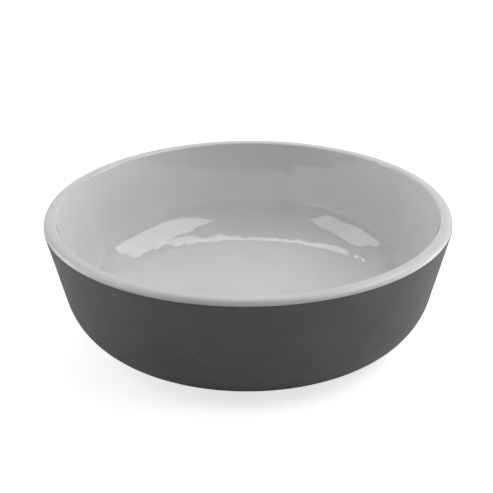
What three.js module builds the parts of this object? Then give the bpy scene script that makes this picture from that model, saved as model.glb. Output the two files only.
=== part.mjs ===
// Round two-tone serving bowl for chips and dips: a thick white inner liner whose rounded rim
// wraps over the top of a dark grey outer shell, which carries a low foot ring underneath.
// Both are solids of revolution. Millimetres, +Z up, origin at the centre of the foot plane.

import * as THREE from 'three';

const rimRadius = 100; // widest outside radius, on the rounded rim
const bowlHeight = 65; // table to the top of the rim
const mouthRadius = 94.1; // inside wall carried up to the top of the rim
const outerFlare = THREE.MathUtils.degToRad(14.8); // outside wall's lean out from upright
const innerFlare = THREE.MathUtils.degToRad(13.3); // inside wall's lean, a little steeper
const outerCornerRadius = 33.5; // between outside wall and base
const innerCornerRadius = 26.5; // between inside wall and the bend at the edge of the floor
const innerCornerFoot = 41.45; // table to the centre of that corner
const bendRadius = 14; // tighter bend that rings the dished floor
const bendTopSlope = THREE.MathUtils.degToRad(26); // slope where the corner meets the bend
const floorEdgeSlope = THREE.MathUtils.degToRad(10); // slope where the bend meets the floor
const flatSlope = THREE.MathUtils.degToRad(2); // the dish is levelled off inside this slope
const shellThickness = 2.6;
const layerGap = 0.3; // clearance between liner and shell
const lipRadius = 3.2; // outside rounding of the rim
const innerEdgeRadius = 1.2; // inside rounding of the rim
const whiteLipDepth = 2.65; // how far the white rim comes down the outside
const footHeight = 1.6; // table to the lowest point of the outside corner's curve
const recessHeight = 4.2; // table to the base inside the foot ring
const footRadius = 57.2; // outside of the flat that the bowl stands on
const footWidth = 4.5; // width of that flat
const footDraft = 1.2; // slope on the inner side of the ring
const turnSegments = 72;
const cornerSteps = 9;
const lipSteps = 6;
const edgeSteps = 3;
const bendSteps = 4;
const dishSteps = 5;

const upward = Math.PI / 2;
const downward = -Math.PI / 2;
const linerDepth = shellThickness + layerGap; // outside face of the wall to the back of the liner
const lipCentre = new THREE.Vector2(rimRadius - lipRadius, bowlHeight - lipRadius);
const outerCornerCentre = pointAtDepth(outerCornerRadius, footHeight + outerCornerRadius);
const innerCornerCentre = pointInFront(innerCornerRadius, innerCornerFoot);
const bendCentre = along(innerCornerCentre, bendTopSlope, innerCornerRadius - bendRadius);
const floorEdge = along(bendCentre, floorEdgeSlope, bendRadius);
const dishRadius = floorEdge.x / Math.sin(floorEdgeSlope);
const dishCentre = along(floorEdge, floorEdgeSlope, -dishRadius);
const flatEdge = along(dishCentre, flatSlope, dishRadius);
const edgeCentre = pointInFront(-innerEdgeRadius, bowlHeight - innerEdgeRadius);

// The point at a given height that lies a given depth behind the sloping outside face.
function pointAtDepth(depth, height) {
  const rise = (height - lipCentre.y) * Math.sin(outerFlare);
  return new THREE.Vector2(lipCentre.x + (lipRadius - depth + rise) / Math.cos(outerFlare), height);
}

// The point at a given height that lies a given distance in front of the sloping inside face.
function pointInFront(distance, height) {
  const wallRadius = mouthRadius - (bowlHeight - height) * Math.tan(innerFlare);
  return new THREE.Vector2(wallRadius - distance / Math.cos(innerFlare), height);
}

// The point a given distance from another, square to an upward face that has the given slope.
function along(start, slope, distance) {
  const down = new THREE.Vector2(Math.sin(slope), -Math.cos(slope));
  return start.clone().addScaledVector(down, distance);
}

// Points along an arc about a centre; angles are measured from straight outward, upward positive.
function arc(centre, radius, fromAngle, toAngle, steps) {
  const points = [];
  for (let step = 0; step <= steps; step += 1) {
    const angle = fromAngle + ((toAngle - fromAngle) * step) / steps;
    const reach = new THREE.Vector2(Math.cos(angle), Math.sin(angle)).multiplyScalar(radius);
    points.push(centre.clone().add(reach));
  }
  return points;
}

// The rounded corner of the face that lies a given depth behind the outside.
function outerCornerArc(depth, fromAngle, toAngle) {
  return arc(outerCornerCentre, outerCornerRadius - depth, fromAngle, toAngle, cornerSteps);
}

// Where that corner meets the level face the same depth above the recessed base.
function levelAngle(depth) {
  return -Math.asin((outerCornerCentre.y - recessHeight - depth) / (outerCornerRadius - depth));
}

// The bend and the dish drop their first points, which end the arcs before them.
function linerProfile() {
  const lipEndAngle = Math.asin(1 - whiteLipDepth / lipRadius);
  return [
    new THREE.Vector2(0, recessHeight + linerDepth),
    ...outerCornerArc(linerDepth, levelAngle(linerDepth), -outerFlare),
    pointAtDepth(linerDepth, bowlHeight - whiteLipDepth),
    ...arc(lipCentre, lipRadius, lipEndAngle, upward, lipSteps),
    ...arc(edgeCentre, innerEdgeRadius, upward, Math.PI - innerFlare, edgeSteps),
    ...arc(innerCornerCentre, innerCornerRadius, -innerFlare, downward + bendTopSlope, cornerSteps),
    ...arc(bendCentre, bendRadius, downward + bendTopSlope, downward + floorEdgeSlope, bendSteps).slice(1),
    ...arc(dishCentre, dishRadius, downward + floorEdgeSlope, downward + flatSlope, dishSteps).slice(1),
    new THREE.Vector2(0, flatEdge.y),
  ];
}

function shellProfile() {
  const topHeight = bowlHeight - whiteLipDepth - layerGap;
  const topAngle = Math.asin((topHeight - lipCentre.y) / lipRadius);
  return [
    new THREE.Vector2(0, recessHeight),
    new THREE.Vector2(footRadius - footWidth - footDraft, recessHeight),
    new THREE.Vector2(footRadius - footWidth, 0),
    new THREE.Vector2(footRadius, 0),
    ...outerCornerArc(0, downward, -outerFlare),
    ...arc(lipCentre, lipRadius, -outerFlare, topAngle, 2),
    pointAtDepth(shellThickness, topHeight),
    ...outerCornerArc(shellThickness, -outerFlare, levelAngle(shellThickness)),
    new THREE.Vector2(0, recessHeight + shellThickness),
  ];
}

function turnedMesh(name, profile, material) {
  const mesh = new THREE.Mesh(new THREE.LatheGeometry(profile, turnSegments), material);
  mesh.name = name;
  return mesh;
}

const glossWhite = new THREE.MeshStandardMaterial({ color: 0xe4e4e6, roughness: 0.12, metalness: 0 });
const satinGrey = new THREE.MeshStandardMaterial({ color: 0x56585b, roughness: 0.45, metalness: 0 });

const bowl = new THREE.Group();
bowl.rotation.x = Math.PI / 2; // the lathe turns about Y; the bowl stands along Z
bowl.add(
  turnedMesh('inner_liner', linerProfile(), glossWhite),
  turnedMesh('outer_shell', shellProfile(), satinGrey),
);

export default bowl;
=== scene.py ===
# A round two-tone serving bowl: a white glazed liner moulded into a satin grey shell.
# Everything is in metres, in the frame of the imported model: +Z up, origin at the foot's centre.

import math

import bpy
import numpy as np
from mathutils import Matrix, Vector


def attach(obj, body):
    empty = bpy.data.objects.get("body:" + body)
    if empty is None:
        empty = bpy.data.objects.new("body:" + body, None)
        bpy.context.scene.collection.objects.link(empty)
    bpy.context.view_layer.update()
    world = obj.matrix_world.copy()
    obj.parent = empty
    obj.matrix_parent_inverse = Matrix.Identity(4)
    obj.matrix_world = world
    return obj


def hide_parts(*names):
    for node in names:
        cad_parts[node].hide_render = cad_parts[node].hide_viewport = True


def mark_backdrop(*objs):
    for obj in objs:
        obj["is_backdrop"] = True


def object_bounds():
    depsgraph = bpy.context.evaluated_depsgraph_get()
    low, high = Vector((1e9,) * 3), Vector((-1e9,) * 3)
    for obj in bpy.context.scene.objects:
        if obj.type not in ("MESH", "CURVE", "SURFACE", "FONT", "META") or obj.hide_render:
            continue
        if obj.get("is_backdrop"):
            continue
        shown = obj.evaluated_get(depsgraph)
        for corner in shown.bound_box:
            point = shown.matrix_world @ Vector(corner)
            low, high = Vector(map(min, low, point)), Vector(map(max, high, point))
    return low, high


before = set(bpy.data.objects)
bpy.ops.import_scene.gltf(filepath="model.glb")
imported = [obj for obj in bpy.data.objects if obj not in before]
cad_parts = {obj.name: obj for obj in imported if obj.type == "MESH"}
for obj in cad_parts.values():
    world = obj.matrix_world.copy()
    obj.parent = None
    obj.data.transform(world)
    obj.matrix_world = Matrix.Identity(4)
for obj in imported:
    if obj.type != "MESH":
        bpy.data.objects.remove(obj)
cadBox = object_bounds()

bowlRadius = cadBox[1].x
bowlHeight = cadBox[1].z
mm = 0.001


def arc(centre, radius, start, end, steps):
    # (cx + R cos a, cz + R sin a), with a evenly spaced from start to end degrees
    angle = np.radians(np.linspace(start, end, steps + 1))
    return np.stack([centre[0] + radius * np.cos(angle), centre[1] + radius * np.sin(angle)], 1)


def reach(point, angle, distance):
    # the point a distance away, in a direction given in degrees from straight outward
    turn = math.radians(angle)
    return np.array([point[0] + distance * math.cos(turn), point[1] + distance * math.sin(turn)])


def joinOutline(*stretches):
    # each stretch runs straight on to the next; points closer than a micron are merged
    points = np.concatenate([np.atleast_2d(stretch) for stretch in stretches])
    gap = np.linalg.norm(np.diff(points, axis=0), axis=1)
    return points[np.concatenate([[True], gap > 1e-6])]


def resample(outline, spacing):
    # puts evenly spaced points on each straight run, so that no step is longer than the spacing
    run = np.diff(outline, axis=0)
    count = np.maximum(1, np.ceil(np.linalg.norm(run, axis=1) / spacing)).astype(int)
    first = np.repeat(np.cumsum(count) - count, count)
    part = (np.arange(count.sum()) - first) / np.repeat(count, count)
    points = np.repeat(outline[:-1], count, axis=0) + np.repeat(run, count, axis=0) * part[:, None]
    return np.concatenate([points, outline[-1:]])


def ripple(length, turn, waves, seed):
    # sum of cos(m v + k s + p): m whole waves round the bowl, k along the outline, p any start
    random = np.random.default_rng(seed)
    total = np.zeros((len(length), len(turn)))
    for _ in range(waves["count"]):
        heading = random.uniform(0, math.tau)
        size = random.uniform(*waves["size"])
        around = round(math.tau * waves["radius"] / size * math.cos(heading))
        along = math.tau / size * math.sin(heading)
        start = random.uniform(0, math.tau)
        total += np.cos(around * turn[None, :] + along * length[:, None] + start) * size
    return total / (math.tau * math.sqrt(waves["count"] / 2))


def turnedPiece(name, outline, sides, push=None):
    # (u, v) -> (r(u) cos v, r(u) sin v, z(u)), pushed out along the outline's normal by push(u, v)
    # the outline runs from the axis underneath, out, up and back to the axis on top
    turn = np.arange(sides) * math.tau / sides
    tangent = np.gradient(outline, axis=0)
    tangent /= np.linalg.norm(tangent, axis=1)[:, None]
    normal = np.stack([tangent[:, 1], -tangent[:, 0]], 1)
    length = np.concatenate([[0], np.cumsum(np.linalg.norm(np.diff(outline, axis=0), axis=1))])
    shift = np.zeros((len(outline), sides)) if push is None else push(outline, length, turn)
    radius = outline[:, :1] + shift * normal[:, :1]
    height = outline[:, 1:] + shift * normal[:, 1:]
    grid = np.stack([radius * np.cos(turn), radius * np.sin(turn), height], 2)
    rows = grid[1:-1].reshape(-1, 3)
    poles = np.array([[0, 0, height[0].mean()], [0, 0, height[-1].mean()]])
    points = np.concatenate([rows, poles])
    count = len(outline) - 2
    ring = np.arange(sides)
    after = (ring + 1) % sides
    band = np.arange(count - 1)[:, None] * sides
    quads = np.stack([band + ring, band + after, band + sides + after, band + sides + ring], 2)
    bottom, top = count * sides, count * sides + 1
    under = np.stack([np.full(sides, bottom), after, ring], 1)
    last = (count - 1) * sides
    over = np.stack([last + ring, last + after, np.full(sides, top)], 1)
    faces = quads.reshape(-1, 4).tolist() + under.tolist() + over.tolist()
    mesh = bpy.data.meshes.new(name)
    mesh.from_pydata(points.tolist(), [], faces)
    mesh.shade_smooth()
    piece = bpy.data.objects.new(name, mesh)
    bpy.context.scene.collection.objects.link(piece)
    return piece


class Feed:
    # a socket that adds Math nodes as it is used in a sum
    def __init__(self, tree, socket=None):
        self.tree = tree
        self.socket = socket

    def node(self, kind, settings=None, inputs=None, output=0):
        # settings go on the node first, then values or links go on its sockets
        made = self.tree.nodes.new("ShaderNode" + kind)
        for name, value in (settings or {}).items():
            setattr(made, name, value)
        for name, value in (inputs or {}).items():
            if isinstance(value, Feed):
                self.tree.links.new(value.socket, made.inputs[name])
            else:
                made.inputs[name].default_value = value
        return Feed(self.tree, made.outputs[output])

    def math(self, operation, first, second=0.0):
        return self.node("Math", {"operation": operation}, {0: first, 1: second})

    def __add__(self, other):
        return self.math("ADD", self, other)

    def __radd__(self, other):
        return self.math("ADD", other, self)

    def __sub__(self, other):
        return self.math("SUBTRACT", self, other)

    def __rsub__(self, other):
        return self.math("SUBTRACT", other, self)

    def __mul__(self, other):
        return self.math("MULTIPLY", self, other)

    def __rmul__(self, other):
        return self.math("MULTIPLY", other, self)

    def between(self, low, high):
        # 0 up to low, 1 from high on, with a smooth rise between
        return self.node("MapRange", {"interpolation_type": "SMOOTHSTEP"},
                         {"Value": self, "From Min": low, "From Max": high})

    def vector(self, operation, other=(0, 0, 0), output=0):
        return self.node("VectorMath", {"operation": operation}, {0: self, 1: other}, output)

    def blend(self, first, second):
        # first colour where this is 0, second where it is 1
        return self.node("Mix", {"data_type": "RGBA"}, {0: self, 6: first, 7: second}, 2)


def noise(place, size, detail=2.0, roughness=0.5):
    # cloudy pattern about 0.5, with blobs of the given size in metres
    return place.node("TexNoise", {}, {"Vector": place, "Scale": 0.5 / size, "Detail": detail,
                                       "Roughness": roughness})


def streaks(place, turn, stretch, pattern, low, high):
    # noise on turned and stretched coordinates, cut to its peaks between low and high
    turned = place.node("Mapping", {}, {"Vector": place, "Rotation": turn, "Scale": stretch})
    return noise(turned, **pattern).between(low, high)


def newMaterial(name):
    material = bpy.data.materials.new(name)
    material.use_nodes = True
    shader = material.node_tree.nodes["Principled BSDF"]
    blank = Feed(material.node_tree)
    place = blank.node("TexCoord", output=3)
    return material, shader, place


def connect(shader, **feeds):
    for name, feed in feeds.items():
        shader.id_data.links.new(feed.socket, shader.inputs[name.replace("_", " ")])


def grey(value, tint=0.0):
    return (value, value, value * (1 + tint), 1.0)


liner = {
    "mouthRadius": 94.1 * mm,      # inside wall carried up to the rim
    "wallFlare": 13.3,             # degrees out from upright
    "cornerRadius": 26.5 * mm,
    "cornerFoot": 41.45 * mm,      # table to the corner's centre
    "bendRadius": 14.0 * mm,       # tighter ring where the corner meets the floor
    "bendTopSlope": 26.0,          # degrees from level where the corner meets the bend
    "floorEdgeSlope": 10.0,        # and where the bend meets the dished floor
    "lipRadius": 3.2 * mm,         # outside rounding of the rim
    "innerEdgeRadius": 1.2 * mm,
    "whiteLipDepth": 2.65 * mm,    # how far the white comes down the outside
    "hemRadius": 0.15 * mm,        # tiny rounding where white meets grey
    "backDepth": 2.66 * mm,        # outside face to the back of the white layer
    "sides": 360,
    "spacing": 0.6 * mm,           # longest step up the wall
    "backSpacing": 8 * mm,
    "steps": {"back": 10, "hem": 4, "lip": 26, "edge": 14, "corner": 44, "bend": 18, "dish": 80},
    "waves": {"count": 48, "size": (5 * mm, 16 * mm), "radius": 80 * mm},
    "wallSlope": 0.011,            # steepness of the moulding ripples on the wall
    "cornerSlope": 0.018,
    "bendSlope": 0.032,
    "floorSlope": 0.007,
    "rimFade": 7 * mm,             # ripples fade in over this much below the rim
    "middleFade": 30 * mm,         # and fade out inside this radius
    "floorReach": 71 * mm,
    "bendReach": 79 * mm,
    "reachFade": 4 * mm,
    "cornerTop": 38 * mm,
    "cornerFade": 8 * mm,
    "rippleStart": 12,             # outline steps past the top before the ripples start
    "rippleSeed": 7,
}

shell = {
    "wallFlare": 14.8,             # degrees out from upright
    "cornerRadius": 33.5 * mm,
    "cornerFoot": 1.6 * mm,        # table to the lowest point of the corner's curve
    "thickness": 2.6 * mm,
    "recessHeight": 4.2 * mm,      # table to the base inside the foot ring
    "footRadius": 57.2 * mm,
    "footWidth": 4.5 * mm,
    "footDraft": 1.2 * mm,
    "footEdge": 0.45 * mm,
    "seamGap": 0.05 * mm,
    "hemRadius": 0.15 * mm,
    "sides": 300,
    "spacing": 0.8 * mm,
    "baseSpacing": 5 * mm,
    "backSpacing": 8 * mm,
    "steps": {"recess": 4, "foot": 6, "corner": 72, "lip": 10, "hem": 4, "back": 10},
    "waves": {"count": 22, "size": (12 * mm, 34 * mm), "radius": 95 * mm},
    "wallSlope": 0.004,
    "footClear": 3 * mm,           # no ripples below this height
    "fade": 8 * mm,
    "rippleSeed": 11,
}

lipCentre = np.array([bowlRadius - liner["lipRadius"], bowlHeight - liner["lipRadius"]])
outerFlare = math.radians(shell["wallFlare"])


def behindWall(depth, height):
    # the point at a height, a depth behind the sloping outside face
    rise = (height - lipCentre[1]) * math.sin(outerFlare)
    return np.array([lipCentre[0] + (liner["lipRadius"] - depth + rise) / math.cos(outerFlare), height])


outerCornerCentre = behindWall(shell["cornerRadius"], shell["cornerFoot"] + shell["cornerRadius"])


def levelAngle(depth):
    # where the corner, a depth behind the outside, meets the level face as far above the base
    drop = outerCornerCentre[1] - shell["recessHeight"] - depth
    return -math.degrees(math.asin(drop / (shell["cornerRadius"] - depth)))


def linerOutline():
    flare = liner["wallFlare"]
    lean = math.tan(math.radians(flare))
    upright = math.cos(math.radians(flare))

    def beforeWall(distance, height):
        onWall = liner["mouthRadius"] - (bowlHeight - height) * lean
        return np.array([onWall - distance / upright, height])

    back = liner["backDepth"]
    hem = liner["hemRadius"]
    hemHeight = bowlHeight - liner["whiteLipDepth"]
    lipRadius = liner["lipRadius"]
    steps = liner["steps"]
    hemAngle = math.degrees(math.asin((hemHeight + hem - lipCentre[1]) / lipRadius))
    hemCentre = reach(lipCentre, hemAngle, lipRadius - hem)
    edgeCentre = beforeWall(-liner["innerEdgeRadius"], bowlHeight - liner["innerEdgeRadius"])
    cornerCentre = beforeWall(liner["cornerRadius"], liner["cornerFoot"])
    bendTop = liner["bendTopSlope"] - 90
    floorEdge = liner["floorEdgeSlope"] - 90
    bendCentre = reach(cornerCentre, bendTop, liner["cornerRadius"] - liner["bendRadius"])
    dishStart = reach(bendCentre, floorEdge, liner["bendRadius"])
    dishRadius = dishStart[0] / math.cos(math.radians(floorEdge))
    dishCentre = reach(dishStart, floorEdge, -dishRadius)
    backCorner = shell["cornerRadius"] - back
    backEdge = reach(outerCornerCentre, levelAngle(back), backCorner)
    wall = [reach(edgeCentre, 180 - flare, liner["innerEdgeRadius"]),
            reach(cornerCentre, -flare, liner["cornerRadius"])]
    return joinOutline(
        resample(np.array([[0, shell["recessHeight"] + back], backEdge]), liner["backSpacing"]),
        arc(outerCornerCentre, backCorner, levelAngle(back), -shell["wallFlare"], steps["back"]),
        behindWall(back, hemHeight),
        behindWall(hem * 2, hemHeight),
        arc(hemCentre, hem, -90, hemAngle, steps["hem"]),
        arc(lipCentre, lipRadius, hemAngle, 90, steps["lip"]),
        arc(edgeCentre, liner["innerEdgeRadius"], 90, 180 - flare, steps["edge"]),
        resample(np.array(wall), liner["spacing"]),
        arc(cornerCentre, liner["cornerRadius"], -flare, bendTop, steps["corner"]),
        arc(bendCentre, liner["bendRadius"], bendTop, floorEdge, steps["bend"]),
        arc(dishCentre, dishRadius, floorEdge, -90, steps["dish"]),
    )


def linerRipple(outline, length, turn):
    # moulding ripples, steepest on the bend round the floor, none at the rim and the middle
    radius, height = outline[:, 0], outline[:, 1]
    inside = np.arange(len(outline)) > np.argmax(height) + liner["rippleStart"]
    wallEdge = np.clip((bowlHeight - height) / liner["rimFade"], 0, 1)
    middle = np.clip(radius / liner["middleFade"], 0, 1)
    fade = liner["reachFade"]
    onFloor = np.clip((liner["floorReach"] - radius) / fade, 0, 1)
    onBend = np.clip((liner["bendReach"] - radius) / fade, 0, 1) * (1 - onFloor)
    inCorner = np.clip((liner["cornerTop"] - height) / liner["cornerFade"], 0, 1)
    inCorner = inCorner * (1 - onBend - onFloor)
    onWall = 1 - inCorner - onBend - onFloor
    slope = liner["wallSlope"] * onWall + liner["cornerSlope"] * inCorner
    slope = slope + liner["bendSlope"] * onBend + liner["floorSlope"] * onFloor
    strength = slope * inside * wallEdge * middle
    return strength[:, None] * ripple(length, turn, liner["waves"], liner["rippleSeed"])


glaze = {
    "tone": (grey(0.762, 0.015), grey(0.787, 0.015)),
    "toneCut": (0.3, 0.7),
    "rimBlend": (-0.1 * mm, 0.6 * mm),                 # satin rim, from the mouth radius
    "scratchBlend": (62 * mm, 76 * mm),                # radii where the scratches fade out
    "dimpleBlend": (48 * mm, 66 * mm, 76 * mm, 82 * mm),   # radii where dimples come and go
    "cloud": dict(size=14 * mm, detail=4),
    "speck": dict(size=1.2 * mm),
    "dimples": dict(size=3.0 * mm),
    "rimWear": dict(size=3 * mm, detail=5, roughness=0.7),
    "wearCut": (0.5, 0.68),
    "longScratches": ((0, 0, 0.6), (1, 14, 1), dict(size=5 * mm, detail=6, roughness=0.72), 0.66, 0.74),
    "crossScratches": ((0, 0, -0.9), (12, 1, 1), dict(size=6 * mm, detail=6, roughness=0.72), 0.67, 0.75),
    "roughness": {"base": 0.02, "cloud": 0.015, "rim": 0.3, "wear": 0.12, "scratch": 0.08},
    "relief": {"dimple": 0.004 * mm, "bend": 0.22 * mm, "speck": 0.0012 * mm,
               "scratch": 0.002 * mm, "wear": 0.003 * mm},
    "ior": 1.66,
}


def whiteGlaze():
    material, shader, place = newMaterial("whiteGlaze")
    rough, relief = glaze["roughness"], glaze["relief"]
    rimStart, rimEnd = glaze["rimBlend"]
    dimpleIn, dimpleFull, dimpleFade, dimpleOut = glaze["dimpleBlend"]
    radius = place.vector("MULTIPLY", (1, 1, 0)).vector("LENGTH", output=1)
    cloud = noise(place, **glaze["cloud"])
    colour = cloud.between(*glaze["toneCut"]).blend(*glaze["tone"])
    onRim = radius.between(liner["mouthRadius"] + rimStart, liner["mouthRadius"] + rimEnd)
    rimWear = onRim * noise(place, **glaze["rimWear"]).between(*glaze["wearCut"])
    onFloor = 1 - radius.between(*glaze["scratchBlend"])
    scratches = streaks(place, *glaze["longScratches"]) + streaks(place, *glaze["crossScratches"])
    scratches = scratches * onFloor
    roughness = rough["base"] + cloud * rough["cloud"] + onRim * rough["rim"]
    roughness = roughness + rimWear * rough["wear"] + scratches * rough["scratch"]
    nearBend = (1 - radius.between(dimpleFade, dimpleOut)) * radius.between(dimpleIn, dimpleFull)
    peel = noise(place, **glaze["dimples"]) * (nearBend * relief["bend"] + relief["dimple"])
    peel = peel + noise(place, **glaze["speck"]) * relief["speck"]
    peel = peel - scratches * relief["scratch"] - rimWear * relief["wear"]
    bump = place.node("Bump", {}, {"Height": peel, "Distance": 1.0, "Strength": 1.0})
    connect(shader, Base_Color=colour, Roughness=roughness, Normal=bump)
    shader.inputs["IOR"].default_value = glaze["ior"]
    return material


glazedLiner = turnedPiece("glazedLiner", linerOutline(), liner["sides"], linerRipple)
glazedLiner.data.materials.append(whiteGlaze())
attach(glazedLiner, "root")
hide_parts("inner_liner")
print("white liner made:", len(glazedLiner.data.polygons), "faces")


def shellOutline():
    hem = shell["hemRadius"]
    top = bowlHeight - liner["whiteLipDepth"] - shell["seamGap"]
    flare = shell["wallFlare"]
    lipRadius = liner["lipRadius"]
    hemAngle = math.degrees(math.asin((top - hem - lipCentre[1]) / (lipRadius - hem)))
    hemCentre = reach(lipCentre, hemAngle, lipRadius - hem)
    thickness = shell["thickness"]
    innerCorner = shell["cornerRadius"] - thickness
    footOut = shell["footRadius"]
    footIn = footOut - shell["footWidth"]
    edge = shell["footEdge"]
    recess = shell["recessHeight"]
    spacing = shell["spacing"]
    steps = shell["steps"]
    recessEdge = footIn - shell["footDraft"] - edge
    backEdge = reach(outerCornerCentre, levelAngle(thickness), innerCorner)
    footStart = reach(outerCornerCentre, -90, shell["cornerRadius"])
    footAngle = math.degrees(math.atan2(footStart[1], footStart[0] - footOut))
    rise = math.degrees(math.atan2(recess, shell["footDraft"]))
    corner = arc(outerCornerCentre, shell["cornerRadius"], -90, -flare, steps["corner"])
    wall = [reach(outerCornerCentre, -flare, shell["cornerRadius"]),
            reach(lipCentre, -flare, lipRadius)]
    return joinOutline(
        resample(np.array([[0, recess], [recessEdge, recess]]), shell["baseSpacing"]),
        arc((recessEdge, recess - edge), edge, 90, 90 - rise, steps["recess"]),
        arc((footIn + edge, edge), edge, 270 - rise, 270, steps["foot"]),
        arc((footOut - edge, edge), edge, -90, footAngle - 90, steps["foot"]),
        resample(corner, spacing),
        resample(np.array(wall), spacing),
        arc(lipCentre, lipRadius, -flare, hemAngle, steps["lip"]),
        arc(hemCentre, hem, hemAngle, 90, steps["hem"]),
        behindWall(thickness, top),
        arc(outerCornerCentre, innerCorner, -flare, levelAngle(thickness), steps["back"]),
        resample(np.array([backEdge, [0, recess + thickness]]), shell["backSpacing"]),
    )


def shellRipple(outline, length, turn):
    # very faint ripples on the outside wall, fading out at the seam and the foot
    height = outline[:, 1]
    outside = np.arange(len(outline)) < np.argmax(height)
    rise = np.clip((height - shell["footClear"]) / shell["fade"], 0, 1)
    seam = np.clip((bowlHeight - liner["whiteLipDepth"] - height) / shell["fade"], 0, 1)
    strength = shell["wallSlope"] * outside * rise * seam
    return strength[:, None] * ripple(length, turn, shell["waves"], shell["rippleSeed"])


satin = {
    "tone": (grey(0.113, 0.05), grey(0.131, 0.05)),
    "toneCut": (0.35, 0.65),
    "toneMix": (0.7, 0.3),                             # shares of cloud and mottle
    "wornTone": grey(0.22, 0.01),
    "cloud": dict(size=11 * mm, detail=5, roughness=0.6),
    "grain": dict(size=0.5 * mm),
    "mottle": dict(size=4 * mm, detail=3),
    "footBlend": (0.1 * mm, 1.2 * mm),                 # heights where the foot's wear fades out
    "footWear": dict(size=2.5 * mm, detail=6, roughness=0.7),
    "footCut": (0.42, 0.62),
    "scuffs": ((0.3, 0.2, 0), (1, 1, 7), dict(size=9 * mm, detail=7, roughness=0.75), 0.66, 0.8),
    "markPlace": (-21.4 * mm, -88.9 * mm, 31 * mm),    # one pale rub low on the front
    "markBlend": (0.6 * mm, 3.2 * mm),
    "mark": dict(size=0.9 * mm, detail=3),
    "markCut": (0.42, 0.6),
    "wear": {"foot": 0.7, "scuff": 0.35, "mark": 0.5},
    "roughness": {"base": 0.40, "cloud": 0.08, "grain": 0.04, "wear": 0.15},
    "relief": {"grain": 0.004 * mm, "mottle": 0.003 * mm, "scuff": 0.004 * mm, "foot": 0.01 * mm},
    "ior": 1.5,
}


def satinGrey():
    material, shader, place = newMaterial("satinGrey")
    rough, relief, share = satin["roughness"], satin["relief"], satin["wear"]
    cloudShare, mottleShare = satin["toneMix"]
    height = place.node("SeparateXYZ", {}, {0: place}, 2)
    cloud = noise(place, **satin["cloud"])
    grain = noise(place, **satin["grain"])
    mottle = noise(place, **satin["mottle"])
    mixed = cloud * cloudShare + mottle * mottleShare
    colour = mixed.between(*satin["toneCut"]).blend(*satin["tone"])
    onFoot = 1 - height.between(*satin["footBlend"])
    footWear = onFoot * noise(place, **satin["footWear"]).between(*satin["footCut"])
    scuffs = streaks(place, *satin["scuffs"])
    nearMark = 1 - place.vector("DISTANCE", satin["markPlace"], 1).between(*satin["markBlend"])
    mark = nearMark * noise(place, **satin["mark"]).between(*satin["markCut"])
    wear = footWear * share["foot"] + scuffs * share["scuff"] + mark * share["mark"]
    colour = wear.blend(colour, satin["wornTone"])
    roughness = rough["base"] + cloud * rough["cloud"] + grain * rough["grain"]
    roughness = roughness + wear * rough["wear"]
    skin = grain * relief["grain"] + mottle * relief["mottle"]
    skin = skin - scuffs * relief["scuff"] - footWear * relief["foot"]
    bump = place.node("Bump", {}, {"Height": skin, "Distance": 1.0, "Strength": 1.0})
    connect(shader, Base_Color=colour, Roughness=roughness, Normal=bump)
    shader.inputs["IOR"].default_value = satin["ior"]
    return material


satinShell = turnedPiece("satinShell", shellOutline(), shell["sides"], shellRipple)
satinShell.data.materials.append(satinGrey())
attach(satinShell, "root")
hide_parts("outer_shell")
print("grey shell made:", len(satinShell.data.polygons), "faces")


floor = {"size": 8.0, "colour": grey(0.86), "roughness": 0.6, "lift": grey(0.72)}

studio = {
    "right": dict(turn=99.0, rise=49.1, away=1.0, yaw=-16.1, tilt=2.8, roll=-13.4,
                  width=1.16, height=0.58, power=5.2),
    "left": dict(turn=-101.5, rise=39.9, away=1.0, yaw=26.4, tilt=-14.9, roll=7.7,
                 width=0.96, height=0.46, power=2.55),
    "above": dict(turn=-1.0, rise=68.9, away=1.0, yaw=10.1, tilt=-4.4, roll=-12.6,
                  width=0.98, height=0.25, power=1.95),
    "behindLow": dict(turn=0.0, rise=20.0, away=1.0, yaw=0.0, tilt=0.0, roll=0.0,
                      width=1.8, height=0.25, power=1.5),
    "behindHigh": dict(turn=0.0, rise=48.0, away=1.0, yaw=0.0, tilt=0.0, roll=0.0,
                       width=1.8, height=0.25, power=0.6),
    "lowRight": dict(turn=75.0, rise=8.0, away=1.2, yaw=0.0, tilt=0.0, roll=0.0,
                     width=0.7, height=0.25, power=3.6),
    "lowLeft": dict(turn=-75.0, rise=8.0, away=1.2, yaw=0.0, tilt=0.0, roll=0.0,
                    width=0.7, height=0.25, power=2.9),
}

world = {"seen": grey(0.75), "glow": 0.047}

camera = {"away": 0.8077, "rise": 24.443, "aimHeight": 0.0458, "aimAcross": -0.00086,
          "roll": -0.416, "lens": 119.0}


def makeFloor():
    half = floor["size"] / 2
    corners = [(-half, -half, 0), (half, -half, 0), (half, half, 0), (-half, half, 0)]
    mesh = bpy.data.meshes.new("floor")
    mesh.from_pydata(corners, [], [(0, 1, 2, 3)])
    piece = bpy.data.objects.new("floor", mesh)
    bpy.context.scene.collection.objects.link(piece)
    material, shader, place = newMaterial("paleFloor")
    shader.inputs["Base Color"].default_value = floor["colour"]
    shader.inputs["Roughness"].default_value = floor["roughness"]
    shader.inputs["Emission Strength"].default_value = 1.0
    seen = place.node("LightPath")  # lifts the floor's tone to the eye, and not its light
    connect(shader, Emission_Color=seen.blend(grey(0), floor["lift"]))
    mesh.materials.append(material)
    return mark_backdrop(piece)


def direction(turn, rise):
    # unit vector, turned clockwise from +Y and raised from level, both in degrees
    turn, rise = math.radians(turn), math.radians(rise)
    return Vector((math.sin(turn) * math.cos(rise), math.cos(turn) * math.cos(rise), math.sin(rise)))


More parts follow.
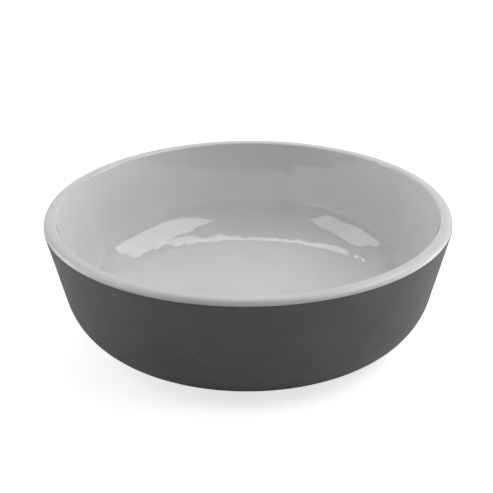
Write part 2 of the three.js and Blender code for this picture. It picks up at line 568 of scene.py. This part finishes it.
def makeSoftbox(name, box):
    place = direction(box["turn"], box["rise"]) * box["away"]
    back = direction(box["turn"] + box["yaw"], box["rise"] + box["tilt"])
    side = Vector((0, 0, 1)).cross(back).normalized()
    rise = back.cross(side)
    roll = math.radians(box["roll"])
    across = side * math.cos(roll) + rise * math.sin(roll)
    upward = rise * math.cos(roll) - side * math.sin(roll)
    lamp = bpy.data.lights.new(name, "AREA")
    lamp.shape = "RECTANGLE"
    lamp.size, lamp.size_y = box["width"], box["height"]
    lamp.energy = box["power"]
    piece = bpy.data.objects.new(name, lamp)
    turn = Matrix((across, upward, back)).transposed()
    piece.matrix_world = Matrix.Translation(place) @ turn.to_4x4()
    piece.visible_camera = False
    bpy.context.scene.collection.objects.link(piece)


def makeWorld():
    made = bpy.data.worlds.new("studio")
    made.use_nodes = True
    tree = made.node_tree
    tree.nodes.clear()
    blank = Feed(tree)
    seen = blank.node("LightPath")
    shown = blank.node("Background", {}, {"Color": world["seen"], "Strength": 1.0})
    glow = blank.node("Background", {}, {"Color": grey(1), "Strength": world["glow"]})
    mixed = blank.node("MixShader", {}, {0: seen, 1: glow, 2: shown})
    output = tree.nodes.new("ShaderNodeOutputWorld")  # it has no outgoing socket for Feed to hold
    tree.links.new(mixed.socket, output.inputs["Surface"])
    bpy.context.scene.world = made


def makeCamera():
    lens = bpy.data.cameras.new("camera")
    lens.lens = camera["lens"]
    piece = bpy.data.objects.new("camera", lens)
    aim = Vector((camera["aimAcross"], 0, camera["aimHeight"]))
    rise = math.radians(camera["rise"])
    place = Vector((0, -math.cos(rise), math.sin(rise))) * camera["away"]
    place.z += camera["aimHeight"]
    turn = (aim - place).to_track_quat("-Z", "Y").to_matrix()
    turn = turn @ Matrix.Rotation(math.radians(camera["roll"]), 3, "Z")
    piece.matrix_world = Matrix.Translation(place) @ turn.to_4x4()
    bpy.context.scene.collection.objects.link(piece)
    bpy.context.scene.camera = piece


makeFloor()
for name, box in studio.items():
    makeSoftbox(name, box)
makeWorld()
makeCamera()
view = bpy.context.scene.view_settings
view.view_transform = "Standard"
print("floor, light and camera made")
